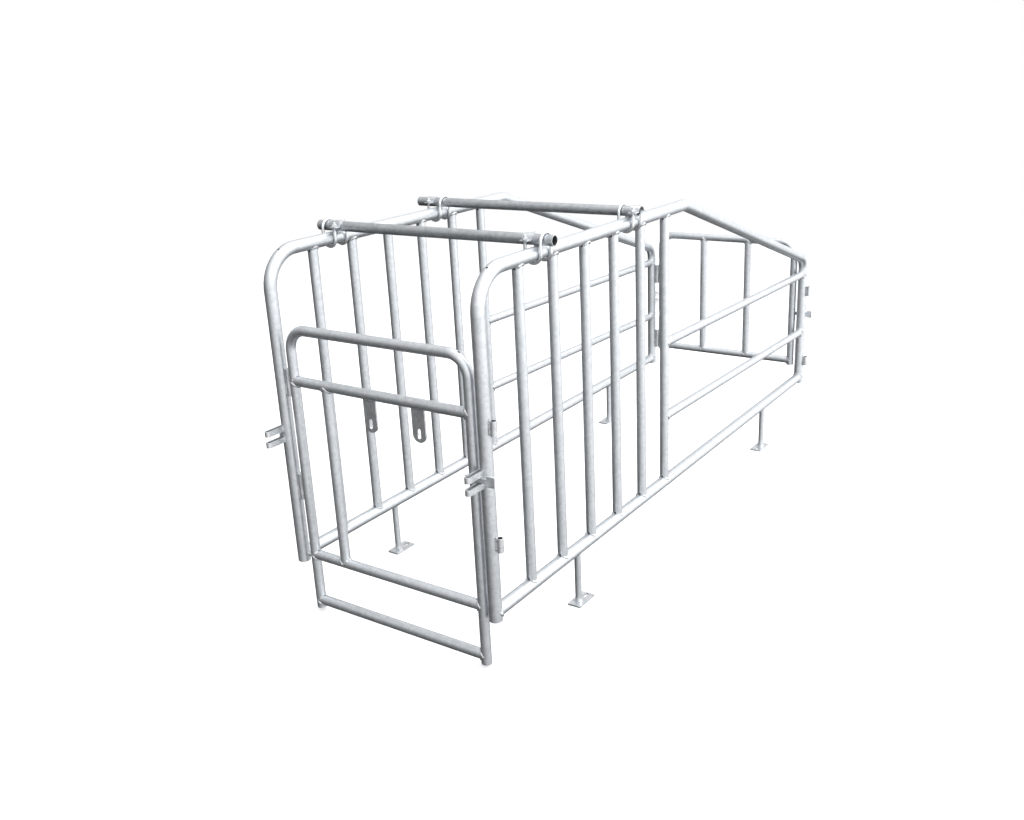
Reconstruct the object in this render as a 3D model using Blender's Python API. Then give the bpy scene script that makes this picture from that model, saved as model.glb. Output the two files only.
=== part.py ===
"""Sow gestation stall of galvanised steel tube, built as separate pieces.

Two identical side panels stand on four feet and are tied together by two clamped cross tubes.
A gate closes each end.  It hangs on two pins in sleeves on the left panel's post, and a headed
latch bar on its free leg lies in a forked catch on the right panel's post.

Frame: metres, +Z up, +Y from the front gate to the rear gate, +X towards the latch side.  The
origin is on the floor at the middle of the overall box, which the cross tubes set sideways.
"""

import math

import bmesh
import bpy
from mathutils import Vector

# Overall sizes.
PANEL_LENGTH = 2.10
STALL_WIDTH = 0.65
RAIL_HEIGHT = 0.165
TOP_RAIL_RISE = 0.831
PEAK_DISTANCE = 1.035
REAR_SHOULDER_RISE = 0.475
POST_DROP = 0.022
FRONT_BEND_RADIUS = 0.095
PEAK_BEND_RADIUS = 0.08
REAR_BEND_RADIUS = 0.05

# Tube and rod sections.
FRAME_RADIUS = 0.01685
FRAME_WALL = 0.0026
BAR_RADIUS = 0.01345
BAR_WALL = 0.0023
SLEEVE_RADIUS = 0.0086
SLEEVE_BORE = 0.0063
SLEEVE_HEIGHT = 0.0365
PIN_RADIUS = 0.0060
KNUCKLE_RADIUS = 0.0087
KNUCKLE_SHIFT = 0.0008
FOOT_ROD_RADIUS = 0.009
CLAMP_ROD_RADIUS = 0.004
WELD_GAP = 0.0003
TUBE_SIDES = 12
ROD_SIDES = 8

# Side panel.
BAR_COUNT = 6
FIRST_BAR = 0.161
BAR_PITCH = 0.1496
UPPER_RAIL_RISE = 0.444
LOWER_RAIL_RISE = 0.213
SIDE_RAIL_FALL = 0.028
FOOT_DISTANCE = 0.384
FOOT_PLATE = (0.040, 0.080, 0.005)
FOOT_PLATE_OFFSET = 0.013
FOOT_SLOT = (0.009, 0.024)
FOOT_SLOT_OFFSET = 0.036
HINGE_RISES = {"front": {"lower": 0.168, "upper": 0.460}, "rear": {"lower": 0.052, "upper": 0.332}}
CATCH_RISE = {"front": 0.353, "rear": 0.253}
CATCH_HEIGHT = 0.045
CATCH_NOTCH = 0.016
CATCH_REACH = 0.070
CATCH_STRAP = 0.0035
CATCH_GAP = 0.009
CATCH_OFFSET = -0.009
CATCH_NOTCH_ROOT = 0.0165

# Cross tubes and their clamps.
CROSS_TUBES = {"front": (0.250, -0.002), "rear": (0.702, -0.023)}
CROSS_LENGTH = 0.748
CLAMP_SPREAD = 0.0225
CLAMP_CLEARANCE = 0.0006
SADDLE_THICKNESS = 0.002
SADDLE_WIDTH = 0.028
SADDLE_EAR = 0.0305
NUT_FLATS = 0.013
NUT_HEIGHT = 0.0065
THREAD_STANDOUT = 0.006

# Gates.
GATE_RIGHT_LEG = 0.2885
GATE_CORNER_RADIUS = 0.055
KNUCKLE_HEIGHT = 0.0375
WELD_OVERLAP = 0.0008
FRONT_GATE_RISES = {"top": 0.642, "middle": 0.504, "lower": 0.007, "bottom": -0.132}
FRONT_LEG_END = -0.154
FRONT_GATE_BAR = -0.165
REAR_GATE_RISES = {"top": 0.536, "lower": 0.066}
REAR_LEG_END = 0.048
LUG_CENTRES = {"left": -0.022, "right": 0.131}
LUG_WIDTH = 0.040
LUG_DROP = 0.099
LUG_THICKNESS = 0.005
LUG_SLOT = (0.010, 0.026)
LUG_SLOT_DROP = 0.076
LATCH_TAIL = 0.278
LATCH_TIP = 0.3605
LATCH_BELOW = 0.006
LATCH_HEIGHT = 0.0125
LATCH_HEAD_WIDTH = 0.022
LATCH_HEAD_ENDS = (-0.0125, 0.0145)
LATCH_THICKNESS = 0.006
LATCH_STANDOFF = 0.0177
LATCH_PACKING = 0.017

HINGE_OFFSET = FRAME_RADIUS + SLEEVE_RADIUS + WELD_GAP
HINGE_X = -STALL_WIDTH / 2 + HINGE_OFFSET
GATE_LEFT_LEG = HINGE_X + SLEEVE_RADIUS + BAR_RADIUS + WELD_GAP
CROSS_RISE = TOP_RAIL_RISE + FRAME_RADIUS + BAR_RADIUS + WELD_GAP
STALL_CENTRE_X = -sum(shift for distance, shift in CROSS_TUBES.values()) / 2


def clear_scene():
    for item in list(bpy.data.objects):
        bpy.data.objects.remove(item, do_unlink=True)


def steel(name, colour, roughness):
    material = bpy.data.materials.new(name)
    material.use_nodes = True
    shader = material.node_tree.nodes["Principled BSDF"]
    shader.inputs["Base Color"].default_value = (*colour, 1.0)
    shader.inputs["Metallic"].default_value = 1.0
    shader.inputs["Roughness"].default_value = roughness
    return material


def add_object(name, mesh, material, parent=None, location=(0, 0, 0)):
    item = bpy.data.objects.new(name, mesh)
    bpy.context.collection.objects.link(item)
    item.location = location
    item.parent = parent
    if material:
        item.data.materials.append(material)
        item.data.shade_smooth()
        item.data.set_sharp_from_angle(angle=math.radians(40))
    return item


def add_empty(name, location):
    item = bpy.data.objects.new(name, None)
    bpy.context.collection.objects.link(item)
    item.location = location
    return item


def add_cutter(name, mesh, parent=None, location=(0, 0, 0)):
    cutter = add_object(name, mesh, None, parent, location)
    cutter.hide_render = True
    cutter.display_type = "WIRE"
    return cutter


def boolean(item, operation, other):
    modifier = item.modifiers.new(f"{operation.lower()}_{other.name}", "BOOLEAN")
    modifier.operation = operation
    modifier.solver = "EXACT"
    modifier.object = other


def filleted_path(corners, radii, step=math.radians(18)):
    """Points along straight runs through the corners, each corner rounded to its radius."""
    points = [Vector(corners[0])]
    for before, corner, after, radius in zip(corners, corners[1:], corners[2:], radii):
        corner = Vector(corner)
        towards = (Vector(before) - corner).normalized()
        onward = (Vector(after) - corner).normalized()
        turn = math.pi - towards.angle(onward)
        run = radius * math.tan(turn / 2)
        start = corner + towards * run
        centre = start + (onward - towards * towards.dot(onward)).normalized() * radius
        count = max(2, math.ceil(turn / step))
        for i in range(count + 1):
            angle = turn * i / count
            arm = (start - centre) * math.cos(angle) - towards * radius * math.sin(angle)
            points.append(centre + arm)
    points.append(Vector(corners[-1]))
    return points


def swept_mesh(name, points, radius, bore=0.0, sides=TUBE_SIDES):
    """A round rod along the points, or a tube with open ends if it has a bore."""
    points = [Vector(point) for point in points]
    tangents = []
    for i, point in enumerate(points):
        behind = (point - points[i - 1]).normalized() if i else Vector()
        ahead = (points[i + 1] - point).normalized() if i < len(points) - 1 else Vector()
        tangents.append((behind + ahead).normalized())
    normal = tangents[0].orthogonal().normalized()
    shell = bmesh.new()
    rings = {radius: [], bore: []}
    previous = tangents[0]
    for point, tangent in zip(points, tangents):
        normal = previous.rotation_difference(tangent) @ normal
        previous = tangent
        side = tangent.cross(normal)
        for size in [radius, bore] if bore else [radius]:
            ring = []
            for k in range(sides):
                angle = 2 * math.pi * (k + 0.5) / sides
                arm = (normal * math.cos(angle) + side * math.sin(angle)) * size
                ring.append(shell.verts.new(point + arm))
            rings[size].append(ring)
    for size, outward in [(radius, True), (bore, False)] if bore else [(radius, True)]:
        for ring, following in zip(rings[size], rings[size][1:]):
            for k in range(sides):
                j = (k + 1) % sides
                face = [ring[k], ring[j], following[j], following[k]]
                shell.faces.new(face if outward else face[::-1])
    if bore:
        for end in (0, -1):
            outer, inner = rings[radius][end], rings[bore][end]
            for k in range(sides):
                j = (k + 1) % sides
                face = [outer[k], inner[k], inner[j], outer[j]]
                shell.faces.new(face if end == 0 else face[::-1])
    else:
        shell.faces.new(rings[radius][0][::-1])
        shell.faces.new(rings[radius][-1])
    return finish_mesh(name, shell)


def finish_mesh(name, shell):
    bmesh.ops.recalc_face_normals(shell, faces=shell.faces)
    mesh = bpy.data.meshes.new(name)
    shell.to_mesh(mesh)
    shell.free()
    return mesh


def extruded_mesh(name, outline, across, depth):
    """A flat outline of 2-D points, extruded by depth about its own plane.

    The outline lies in the plane named by across: "XY" grows along Z, "XZ" along Y, "YZ" along X.
    """
    place = {
        "XY": lambda a, b, c: (a, b, c),
        "XZ": lambda a, b, c: (a, c, b),
        "YZ": lambda a, b, c: (c, a, b),
    }[across]
    shell = bmesh.new()
    layers = []
    for level in (-depth / 2, depth / 2):
        layers.append([shell.verts.new(place(a, b, level)) for a, b in outline])
    shell.faces.new(layers[0][::-1])
    shell.faces.new(layers[1])
    count = len(outline)
    for k in range(count):
        j = (k + 1) % count
        shell.faces.new([layers[0][k], layers[0][j], layers[1][j], layers[1][k]])
    return finish_mesh(name, shell)


def arc_points(centre, radius, start, end, count):
    """2-D points on an arc, angles in degrees."""
    points = []
    for i in range(count + 1):
        angle = math.radians(start + (end - start) * i / count)
        points.append((centre[0] + radius * math.cos(angle), centre[1] + radius * math.sin(angle)))
    return points


def slot_outline(width, length, count=6):
    """A slot with round ends, its long side along the second axis."""
    run = (length - width) / 2
    top = arc_points((0, run), width / 2, 0, 180, count)
    bottom = arc_points((0, -run), width / 2, 180, 360, count)
    return top + bottom


def box_outline(low, high):
    return [(low[0], low[1]), (high[0], low[1]), (high[0], high[1]), (low[0], high[1])]


def panel_corners():
    """Corner points of the bent frame tube in the panel's own plane, front post first."""
    shoulder = RAIL_HEIGHT + REAR_SHOULDER_RISE
    top = RAIL_HEIGHT + TOP_RAIL_RISE
    foot = RAIL_HEIGHT - POST_DROP
    return [(0, 0, foot), (0, 0, top), (0, PEAK_DISTANCE, top), (0, PANEL_LENGTH, shoulder),
            (0, PANEL_LENGTH, foot)]


def add_panel(side, x, zinc):
    """One side panel with its cutters, hung on an empty at the panel's front post."""
    hub = add_empty(f"{side}_panel", (STALL_CENTRE_X + x, -PANEL_LENGTH / 2, 0))
    name = f"{side}_panel"
    top = RAIL_HEIGHT + TOP_RAIL_RISE
    last_bar = FIRST_BAR + BAR_PITCH * (BAR_COUNT - 1)
    cut = FRAME_RADIUS + WELD_GAP

    bends = [FRONT_BEND_RADIUS, PEAK_BEND_RADIUS, REAR_BEND_RADIUS]
    frame_path = filleted_path(panel_corners(), bends)
    frame = swept_mesh(f"{name}_frame", frame_path, FRAME_RADIUS, FRAME_RADIUS - FRAME_WALL)
    add_object(f"{name}_frame", frame, zinc, hub)

    def cutter(label, start, end, radius):
        return add_cutter(f"cut_{name}_{label}", swept_mesh(label, [start, end], radius), hub)

    rail_cut = cutter("rail", (0, -0.05, RAIL_HEIGHT), (0, PANEL_LENGTH + 0.05, RAIL_HEIGHT), cut)
    top_cut = cutter("top", (0, FRONT_BEND_RADIUS, top), (0, PEAK_DISTANCE, top), cut)
    post_cuts = {}
    for end, y in (("front", 0), ("rear", PANEL_LENGTH)):
        post_cuts[end] = cutter(f"{end}_post", (0, y, 0), (0, y, RAIL_HEIGHT + REAR_SHOULDER_RISE), cut)
    bar_cut = cutter("last_bar", (0, last_bar, RAIL_HEIGHT), (0, last_bar, top), BAR_RADIUS + WELD_GAP)

    def tube(label, start, end, radius, wall, cuts):
        mesh = swept_mesh(label, [start, end], radius, radius - wall)
        item = add_object(f"{name}_{label}", mesh, zinc, hub)
        for other in cuts:
            boolean(item, "DIFFERENCE", other)

    tube("bottom_rail", (0, 0, RAIL_HEIGHT), (0, PANEL_LENGTH, RAIL_HEIGHT), FRAME_RADIUS, FRAME_WALL,
         [post_cuts["front"], post_cuts["rear"]])
    for i in range(BAR_COUNT):
        y = FIRST_BAR + BAR_PITCH * i
        tube(f"bar_{i + 1}", (0, y, RAIL_HEIGHT), (0, y, top), BAR_RADIUS, BAR_WALL, [rail_cut, top_cut])
    for label, rise in (("upper_side_rail", UPPER_RAIL_RISE), ("lower_side_rail", LOWER_RAIL_RISE)):
        start = (0, last_bar, RAIL_HEIGHT + rise)
        end = (0, PANEL_LENGTH, RAIL_HEIGHT + rise - SIDE_RAIL_FALL)
        tube(label, start, end, BAR_RADIUS, BAR_WALL, [bar_cut, post_cuts["rear"]])

    for end, y, outward in (("front", 0, -1), ("rear", PANEL_LENGTH, 1)):
        for level, rise in HINGE_RISES[end].items():
            base = (HINGE_OFFSET, y, RAIL_HEIGHT + rise)
            line = [(0, 0, 0), (0, 0, SLEEVE_HEIGHT)]
            sleeve = swept_mesh("sleeve", line, SLEEVE_RADIUS, SLEEVE_BORE)
            add_object(f"{name}_{end}_{level}_hinge_sleeve", sleeve, zinc, hub, base)
        add_catch(f"{name}_{end}_catch", y, RAIL_HEIGHT + CATCH_RISE[end], outward, post_cuts[end], hub, zinc)
        foot_y = y - outward * FOOT_DISTANCE
        add_foot(f"{name}_{end}_foot", foot_y, outward, rail_cut, hub, zinc)


def add_catch(name, y, z, outward, post_cut, hub, zinc):
    """A strap bent into a hairpin, open at the post, with a notch across its tip for the latch bar."""
    outer = CATCH_GAP / 2 + CATCH_STRAP
    inner = CATCH_GAP / 2
    tip = CATCH_REACH - outer
    outside = arc_points((0, tip), outer, 0, 180, 8)
    inside = arc_points((0, tip), inner, 180, 0, 6)
    outline = [(outer, 0)] + outside + [(-outer, 0), (-inner, 0)] + inside + [(inner, 0)]
    turned = [(a, outward * b) for a, b in outline][::outward]
    strap = extruded_mesh(name, turned, "XY", CATCH_HEIGHT)
    place = (CATCH_OFFSET, y + outward * 0.001, z)
    catch = add_object(name, strap, zinc, hub, place)
    half = CATCH_NOTCH / 2
    notch = box_outline((CATCH_NOTCH_ROOT, -half), (2 * CATCH_REACH, half))
    turned = [(outward * a, b) for a, b in notch][::outward]
    mesh = extruded_mesh("notch", turned, "YZ", 0.04)
    boolean(catch, "DIFFERENCE", add_cutter(f"cut_{name}", mesh, hub, (CATCH_OFFSET, y, z)))
    boolean(catch, "DIFFERENCE", post_cut)


def add_foot(name, y, outward, rail_cut, hub, zinc):
    """A slotted base plate with a round leg up to the bottom rail."""
    width, length, thickness = FOOT_PLATE
    outline = box_outline((-width / 2, -length / 2), (width / 2, length / 2))
    mesh = extruded_mesh(name, outline, "XY", thickness)
    centre = y - outward * FOOT_PLATE_OFFSET
    foot = add_object(name, mesh, zinc, hub, (0, centre, thickness / 2))
    leg = swept_mesh("leg", [(0, y, thickness / 2), (0, y, RAIL_HEIGHT)], FOOT_ROD_RADIUS, 0, TUBE_SIDES)
    boolean(foot, "UNION", add_cutter(f"leg_{name}", leg, hub))
    boolean(foot, "DIFFERENCE", rail_cut)
    slot = extruded_mesh("slot", slot_outline(*FOOT_SLOT), "XY", 4 * thickness)
    place = (0, y - outward * FOOT_SLOT_OFFSET, 0)
    boolean(foot, "DIFFERENCE", add_cutter(f"slot_{name}", slot, hub, place))


def add_clamp(name, x, y, inward, zinc):
    """A double-bent clamp rod with its nuts, and the saddle strap that it pulls down."""
    centre = Vector((STALL_CENTRE_X + x, y, RAIL_HEIGHT + CROSS_RISE))
    reach = FRAME_RADIUS + CLAMP_ROD_RADIUS + CLAMP_CLEARANCE
    drop = CROSS_RISE - TOP_RAIL_RISE
    ear_top = SADDLE_THICKNESS / 2
    thread_top = ear_top + NUT_HEIGHT + THREAD_STANDOUT
    arch_level = BAR_RADIUS + CLAMP_ROD_RADIUS + WELD_GAP - CLAMP_SPREAD
    half = [(inward * reach, thread_top)]
    for a, b in arc_points((0, -drop), reach, 0, -180, 8):
        half.append((inward * a, b))
    half.append((-inward * reach, arch_level))
    points = [(a, -CLAMP_SPREAD, b) for a, b in half]
    for a, b in arc_points((0, arch_level), CLAMP_SPREAD, 180, 0, 10)[1:-1]:
        points.append((-inward * reach, a, b))
    points += [(a, CLAMP_SPREAD, b) for a, b in half[::-1]]
    rod = swept_mesh(name, points, CLAMP_ROD_RADIUS, 0, ROD_SIDES)
    clamp = add_object(f"{name}_rod", rod, zinc, None, centre)
    for label, spread in (("a", -CLAMP_SPREAD), ("b", CLAMP_SPREAD)):
        corner = NUT_FLATS / 2 / math.cos(math.pi / 6)
        hexagon = arc_points((0, 0), corner, 0, 300, 5)
        nut = extruded_mesh("nut", hexagon, "XY", NUT_HEIGHT)
        level = ear_top + WELD_GAP + NUT_HEIGHT / 2
        place = centre + Vector((inward * reach, spread, level))
        boolean(clamp, "UNION", add_cutter(f"nut_{label}_{name}", nut, None, place))

    inner = BAR_RADIUS + WELD_GAP
    outer = inner + SADDLE_THICKNESS
    low = -SADDLE_THICKNESS / 2
    over = arc_points((0, 0), outer, 4, 176, 12)
    under = arc_points((0, 0), inner, 184, -4, 12)
    right_ear = [(SADDLE_EAR, low), (SADDLE_EAR, ear_top)]
    left_ear = [(-SADDLE_EAR, ear_top), (-SADDLE_EAR, low)]
    strap = extruded_mesh(name, right_ear + over + left_ear + under, "YZ", SADDLE_WIDTH)
    saddle = add_object(f"{name}_saddle", strap, zinc, None, centre + Vector((inward * reach, 0, 0)))
    hole_radius = CLAMP_ROD_RADIUS + 2 * WELD_GAP
    for label, spread in (("a", -CLAMP_SPREAD), ("b", CLAMP_SPREAD)):
        hole = swept_mesh("hole", [(0, 0, -0.01), (0, 0, 0.01)], hole_radius, 0, ROD_SIDES)
        place = centre + Vector((inward * reach, spread, 0))
        boolean(saddle, "DIFFERENCE", add_cutter(f"hole_{label}_{name}", hole, None, place))


def add_cross_tubes(zinc):
    for end, (distance, shift) in CROSS_TUBES.items():
        y = distance - PANEL_LENGTH / 2
        ends = [(-CROSS_LENGTH / 2, 0, 0), (CROSS_LENGTH / 2, 0, 0)]
        mesh = swept_mesh(end, ends, BAR_RADIUS, BAR_RADIUS - BAR_WALL)
        place = (STALL_CENTRE_X + shift, y, RAIL_HEIGHT + CROSS_RISE)
        add_object(f"{end}_cross_tube", mesh, zinc, None, place)
        for side, x in (("left", -STALL_WIDTH / 2), ("right", STALL_WIDTH / 2)):
            towards_middle = -math.copysign(1, x)
            inward = towards_middle if end == "front" else -towards_middle
            add_clamp(f"{end}_{side}_clamp", x, y, inward, zinc)


def add_gate(end, rises, leg_end, y, outward, zinc):
    """The bent frame of a gate with its knuckles and latch bar; returns a tube-adding function."""
    hub = add_empty(f"{end}_gate_hinge", (STALL_CENTRE_X + HINGE_X, y, 0))
    left, right = GATE_LEFT_LEG - HINGE_X, GATE_RIGHT_LEG - HINGE_X
    top = RAIL_HEIGHT + rises["top"]
    foot = RAIL_HEIGHT + leg_end
    corners = [(left, 0, foot), (left, 0, top), (right, 0, top), (right, 0, foot)]
    path = filleted_path(corners, [GATE_CORNER_RADIUS, GATE_CORNER_RADIUS])
    mesh = swept_mesh(f"{end}_gate_frame", path, BAR_RADIUS, BAR_RADIUS - BAR_WALL)
    frame = add_object(f"{end}_gate_frame", mesh, zinc, hub)

    for level, rise in HINGE_RISES[end].items():
        seat = RAIL_HEIGHT + rise + SLEEVE_HEIGHT
        line = [(KNUCKLE_SHIFT, 0, seat + WELD_GAP), (KNUCKLE_SHIFT, 0, seat + KNUCKLE_HEIGHT)]
        knuckle = swept_mesh("knuckle", line, KNUCKLE_RADIUS)
        line = [(0, 0, seat - SLEEVE_HEIGHT), (0, 0, seat + KNUCKLE_HEIGHT / 2)]
        pin = swept_mesh("pin", line, PIN_RADIUS)
        for label, mesh in (("knuckle", knuckle), ("pin", pin)):
            boolean(frame, "UNION", add_cutter(f"{label}_{end}_{level}", mesh, hub))
    leg_cuts = []
    for label, x in (("left", left), ("right", right)):
        rod = swept_mesh("leg", [(x, 0, foot - 0.05), (x, 0, top)], BAR_RADIUS + WELD_GAP)
        leg_cuts.append(add_cutter(f"cut_{end}_gate_{label}_leg", rod, hub))

    def tube(label, start, stop, cuts):
        mesh = swept_mesh(label, [start, stop], BAR_RADIUS, BAR_RADIUS - BAR_WALL)
        item = add_object(f"{end}_gate_{label}", mesh, zinc, hub)
        for other in cuts:
            boolean(item, "DIFFERENCE", other)

    rail_cuts = {}
    for label, rise in rises.items():
        z = RAIL_HEIGHT + rise
        rod = swept_mesh("rail", [(left, 0, z), (right, 0, z)], BAR_RADIUS + WELD_GAP)
        rail_cuts[label] = add_cutter(f"cut_{end}_gate_{label}_rail", rod, hub)
        if label != "top":
            tube(f"{label}_rail", (left, 0, z), (right, 0, z), leg_cuts)
    add_latch_bar(end, outward, right, leg_cuts[1], hub, zinc)
    return hub, tube, rail_cuts


def add_latch_bar(end, outward, leg, leg_cut, hub, zinc):
    """A flat bar with an upright head at its tip, stood off the gate's free leg by a packing."""
    tail, tip = LATCH_TAIL - HINGE_X, LATCH_TIP - HINGE_X
    low, high = -LATCH_BELOW, LATCH_HEIGHT - LATCH_BELOW
    bottom, top = LATCH_HEAD_ENDS
    neck = tip - LATCH_HEAD_WIDTH
    outline = [(tail, low), (neck, low), (neck, bottom), (tip, bottom), (tip, top), (neck, top),
               (neck, high), (tail, high)]
    level = RAIL_HEIGHT + CATCH_RISE[end]
    name = f"{end}_gate_latch_bar"
    place = (0, outward * (LATCH_STANDOFF + LATCH_THICKNESS / 2), level)
    bar = add_object(name, extruded_mesh(name, outline, "XZ", LATCH_THICKNESS), zinc, hub, place)
    packing = box_outline((leg - LATCH_PACKING / 2, low), (leg + LATCH_PACKING / 2, high))
    depth = LATCH_STANDOFF + WELD_OVERLAP
    place = (0, outward * depth / 2, level)
    block = extruded_mesh("packing", packing, "XZ", depth)
    boolean(bar, "UNION", add_cutter(f"packing_{end}", block, hub, place))
    boolean(bar, "DIFFERENCE", leg_cut)


def add_lug(side, x, hub, rail_cut, zinc):
    """A flat slotted lug welded under the middle rail, to hang a feed trough from."""
    radius = LUG_WIDTH / 2
    outline = [(radius, 0), (-radius, 0)] + arc_points((0, radius - LUG_DROP), radius, 180, 360, 12)
    mesh = extruded_mesh(f"{side}_trough_lug", outline, "XZ", LUG_THICKNESS)
    place = (x - HINGE_X, 0, RAIL_HEIGHT + FRONT_GATE_RISES["middle"])
    lug = add_object(f"front_gate_{side}_trough_lug", mesh, zinc, hub, place)
    boolean(lug, "DIFFERENCE", rail_cut)
    slot = extruded_mesh("slot", slot_outline(*LUG_SLOT), "XZ", 4 * LUG_THICKNESS)
    place = (place[0], 0, place[2] - LUG_SLOT_DROP)
    boolean(lug, "DIFFERENCE", add_cutter(f"slot_{side}_trough_lug", slot, hub, place))


def add_front_gate(zinc):
    y = -PANEL_LENGTH / 2
    hub, tube, cuts = add_gate("front", FRONT_GATE_RISES, FRONT_LEG_END, y, -1, zinc)
    x = FRONT_GATE_BAR - HINGE_X
    low, high = RAIL_HEIGHT + FRONT_GATE_RISES["lower"], RAIL_HEIGHT + FRONT_GATE_RISES["middle"]
    tube("bar", (x, 0, low), (x, 0, high), [cuts["lower"], cuts["middle"]])
    for side, centre in LUG_CENTRES.items():
        add_lug(side, centre, hub, cuts["middle"], zinc)


def add_rear_gate(zinc):
    y = PANEL_LENGTH / 2
    hub, tube, cuts = add_gate("rear", REAR_GATE_RISES, REAR_LEG_END, y, 1, zinc)
    low, high = RAIL_HEIGHT + REAR_GATE_RISES["lower"], RAIL_HEIGHT + REAR_GATE_RISES["top"]
    span = GATE_RIGHT_LEG - GATE_LEFT_LEG
    for label, share in (("left", 1 / 3), ("right", 2 / 3)):
        x = GATE_LEFT_LEG + span * share - HINGE_X
        tube(f"{label}_bar", (x, 0, low), (x, 0, high), [cuts["lower"], cuts["top"]])


def main():
    clear_scene()
    tube_zinc = steel("galvanised_tube", (0.62, 0.64, 0.66), 0.42)
    part_zinc = steel("galvanised_fittings", (0.58, 0.60, 0.62), 0.48)
    for side, x in (("left", -STALL_WIDTH / 2), ("right", STALL_WIDTH / 2)):
        add_panel(side, x, tube_zinc)
    add_cross_tubes(part_zinc)
    add_front_gate(tube_zinc)
    add_rear_gate(tube_zinc)


main()
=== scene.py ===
"""Looks of a galvanised sow gestation stall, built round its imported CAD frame.

Every CAD node is replaced by a smooth piece in the same place: tubes with coped ends and vent
notches, plates with worked edges, threaded clamps, and the weld beads that join them.
Metres, +Z up, +Y from the front gate to the rear gate.
"""

import math

import bmesh
import bpy
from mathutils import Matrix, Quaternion, Vector, noise

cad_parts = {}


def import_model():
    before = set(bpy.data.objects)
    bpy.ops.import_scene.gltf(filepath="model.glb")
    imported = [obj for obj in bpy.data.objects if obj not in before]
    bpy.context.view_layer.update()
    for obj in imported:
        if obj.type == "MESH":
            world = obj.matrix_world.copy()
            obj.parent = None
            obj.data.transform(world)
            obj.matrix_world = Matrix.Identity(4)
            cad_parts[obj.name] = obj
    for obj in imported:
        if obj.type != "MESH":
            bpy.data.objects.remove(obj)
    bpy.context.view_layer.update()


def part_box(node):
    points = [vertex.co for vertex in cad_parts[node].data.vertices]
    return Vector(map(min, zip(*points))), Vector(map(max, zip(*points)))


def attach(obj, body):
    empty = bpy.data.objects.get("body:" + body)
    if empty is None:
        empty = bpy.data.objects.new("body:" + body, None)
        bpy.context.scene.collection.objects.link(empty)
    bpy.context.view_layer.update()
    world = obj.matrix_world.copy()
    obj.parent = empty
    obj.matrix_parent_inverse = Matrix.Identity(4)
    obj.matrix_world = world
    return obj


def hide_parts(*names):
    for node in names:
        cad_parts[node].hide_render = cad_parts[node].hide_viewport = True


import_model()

X, Y, Z = Vector((1, 0, 0)), Vector((0, 1, 0)), Vector((0, 0, 1))
SIDES = ("left", "right")
ENDS = (("front", -1), ("rear", 1))

# Tube and rod sections, the same as in the CAD. TOUCH is the CAD's gap between neighbouring
# solids, and SUNK is how far a coped end goes into the tube it meets.
FRAME_RADIUS, FRAME_WALL = 0.01685, 0.0026
BAR_RADIUS, BAR_WALL = 0.01345, 0.0023
SLEEVE_RADIUS, SLEEVE_BORE = 0.0086, 0.0063
PIN_RADIUS, KNUCKLE_RADIUS, KNUCKLE_HEIGHT, KNUCKLE_SHIFT = 0.006, 0.0087, 0.0375, 0.0008
FOOT_ROD_RADIUS, CLAMP_ROD_RADIUS = 0.009, 0.004
TOUCH = 0.0003
SUNK = 0.0003

# Bends of the panel frames and the gates.
FRONT_BEND, PEAK_BEND, REAR_BEND, GATE_BEND = 0.095, 0.08, 0.05, 0.055
PEAK_DISTANCE = 1.035
REAR_SHOULDER_RISE = 0.475
GATE_SPAN = 0.5654

# Fittings.
CATCH_HEIGHT, CATCH_NOTCH, CATCH_REACH, CATCH_STRAP, CATCH_GAP = 0.045, 0.016, 0.070, 0.0035, 0.009
NOTCH_ROOT, NOTCH_CORNER = 0.0165, 0.0015
LATCH_HEIGHT, LATCH_RISE, LATCH_THICKNESS, LATCH_PACKING = 0.0125, 0.0065, 0.006, 0.017
LATCH_HEAD = 0.022
FOOT_PLATE, FOOT_SLOT, FOOT_SLOT_OFFSET = (0.040, 0.080, 0.005), (0.009, 0.024), 0.036
FOOT_LEG_OFFSET, FOOT_CORNER = 0.013, 0.003
LUG_WIDTH, LUG_DROP, LUG_THICKNESS = 0.040, 0.099, 0.005
LUG_SLOT, LUG_SLOT_DROP = (0.010, 0.026), 0.076
CLAMP_SPREAD, SADDLE_THICKNESS, SADDLE_WIDTH, SADDLE_EAR = 0.0225, 0.002, 0.028, 0.0305
SADDLE_FILLET, SADDLE_FLAT, SADDLE_TRIM = 0.003, 0.004, 0.004
NUT_FLATS, NUT_HEIGHT, NUT_CHAMFER, CHAMFER_SLOPE = 0.013, 0.0065, 0.0009, 1.7
THREAD_START, THREAD_STANDOUT, THREAD_SLACK = -0.010, 0.006, 0.00005
THREAD_PITCH, THREAD_DEPTH, THREAD_STEPS = 0.00125, 0.55, 8

# Facets, worked edges and holes.
TUBE_SIDES, PIN_SIDES, ROD_SIDES, NUT_SIDES = 72, 48, 32, 60
BEND_STEP, EDGE_ANGLE = math.radians(3), math.radians(50)
ARC_STEPS = 40
THIN_EDGE, LUG_EDGE, PLATE_EDGE, LATCH_EDGE = 0.0004, 0.0005, 0.0006, 0.0009
VENT_WIDTH, VENT_HEIGHT, VENT_CLEAR = 0.0085, 0.0060, 1.5
DRAIN_RADIUS, DRAIN_ANGLE = 0.0030, math.radians(62)

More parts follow.
